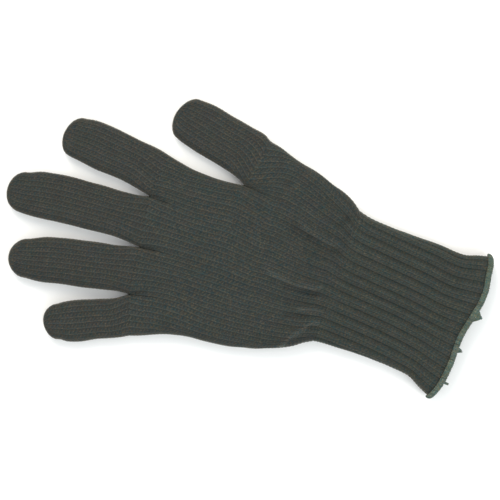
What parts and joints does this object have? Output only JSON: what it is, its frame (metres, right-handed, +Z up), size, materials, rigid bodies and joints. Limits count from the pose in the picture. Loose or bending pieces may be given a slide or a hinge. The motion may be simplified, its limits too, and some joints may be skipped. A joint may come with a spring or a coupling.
{
  "type": "knitted glove liner",
  "caption": "Seamless knitted glove liner lying flat: finger and thumb tubes on a hollow hand, a ribbed cuff and an overcast edge.",
  "frame": {"origin": "under the middle of the palm, on the plane that the glove lies on", "axes": "+Y towards the middle fingertip, +X towards the thumb, +Z up from the surface it lies on"},
  "size_m": [0.1531, 0.2804, 0.0128],
  "materials": {
    "palm_knit": "plain-knitted wool blend, dark grey-green heather, matt",
    "finger_knit": "plain-knitted wool blend tubes, dark grey-green heather, matt",
    "rib_knit": "two-by-one rib knit, dark grey-green, matt",
    "edge_thread": "overcast thread, lighter grey-green"
  },
  "bodies": {
    "root": {"hand": "palm_knit", "little_finger": "finger_knit", "ring_finger": "finger_knit", "middle_finger": "finger_knit", "index_finger": "finger_knit", "thumb": "finger_knit", "rib_cuff": "rib_knit", "cuff_edge": "edge_thread"}
  },
  "joints": []
}
